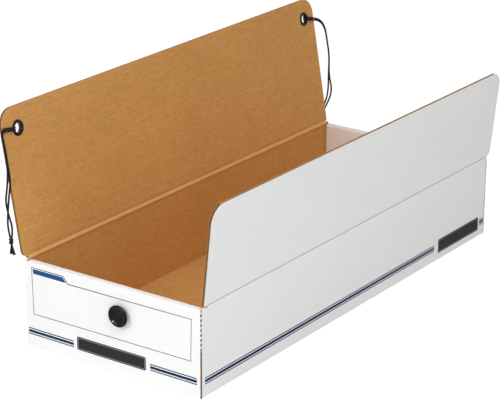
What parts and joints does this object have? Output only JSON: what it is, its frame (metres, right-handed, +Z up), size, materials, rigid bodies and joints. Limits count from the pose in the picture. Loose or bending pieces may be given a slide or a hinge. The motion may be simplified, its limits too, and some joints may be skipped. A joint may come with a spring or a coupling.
{
  "type": "string-and-button storage box",
  "caption": "Long corrugated board storage box with rolled-over ends, two hinged lid flaps, looped cords on eyelets and end buttons.",
  "frame": {"origin": "centre of the tray's underside, on the surface it stands on", "axes": "+X across the box to the right as seen from the front end, +Y along the box from the front end to the rear end, +Z up"},
  "size_m": [0.2831, 0.6418, 0.272],
  "materials": {
    "corrugated_board": "white printed liner outside, plain brown kraft liner inside, 3 mm fluted board",
    "button_plastic": "gloss black moulding",
    "eyelet_metal": "black enamelled rolled eyelet",
    "cord": "black waxed round cord"
  },
  "bodies": {
    "tray": {"bottom_panel": "corrugated_board", "left_side_wall": "corrugated_board", "right_side_wall": "corrugated_board", "front_outer_panel": "corrugated_board", "front_corner_flap": "corrugated_board", "front_top_strip": "corrugated_board", "front_inner_panel": "corrugated_board", "front_button_cap": "button_plastic", "front_button_post": "button_plastic", "front_button_backing": "button_plastic", "rear_outer_panel": "corrugated_board", "rear_corner_flap": "corrugated_board", "rear_top_strip": "corrugated_board", "rear_inner_panel": "corrugated_board", "rear_button_cap": "button_plastic", "rear_button_post": "button_plastic", "rear_button_backing": "button_plastic"},
    "left_lid": {"left_lid_flap": "corrugated_board", "front_eyelet": "eyelet_metal", "front_eyelet_washer": "eyelet_metal", "front_cord_hitch": "cord", "front_cord_strand_a": "cord", "front_cord_strand_b": "cord", "front_cord_knot": "cord", "rear_eyelet": "eyelet_metal", "rear_eyelet_washer": "eyelet_metal", "rear_cord_hitch": "cord", "rear_cord_strand_a": "cord", "rear_cord_strand_b": "cord", "rear_cord_knot": "cord"},
    "right_lid": {"right_lid_flap": "corrugated_board"}
  },
  "joints": [
    {"name": "left_lid_crease", "type": "hinge", "parent": "tray", "child": "left_lid", "pos_m": [-0.1197, 0, 0.1077], "axis": [0, 1, 0], "range_deg": [-115, 98.2]},
    {"name": "right_lid_crease", "type": "hinge", "parent": "tray", "child": "right_lid", "pos_m": [0.1197, 0, 0.1044], "axis": [0, -1, 0], "range_deg": [-119, 95.9]}
  ]
}
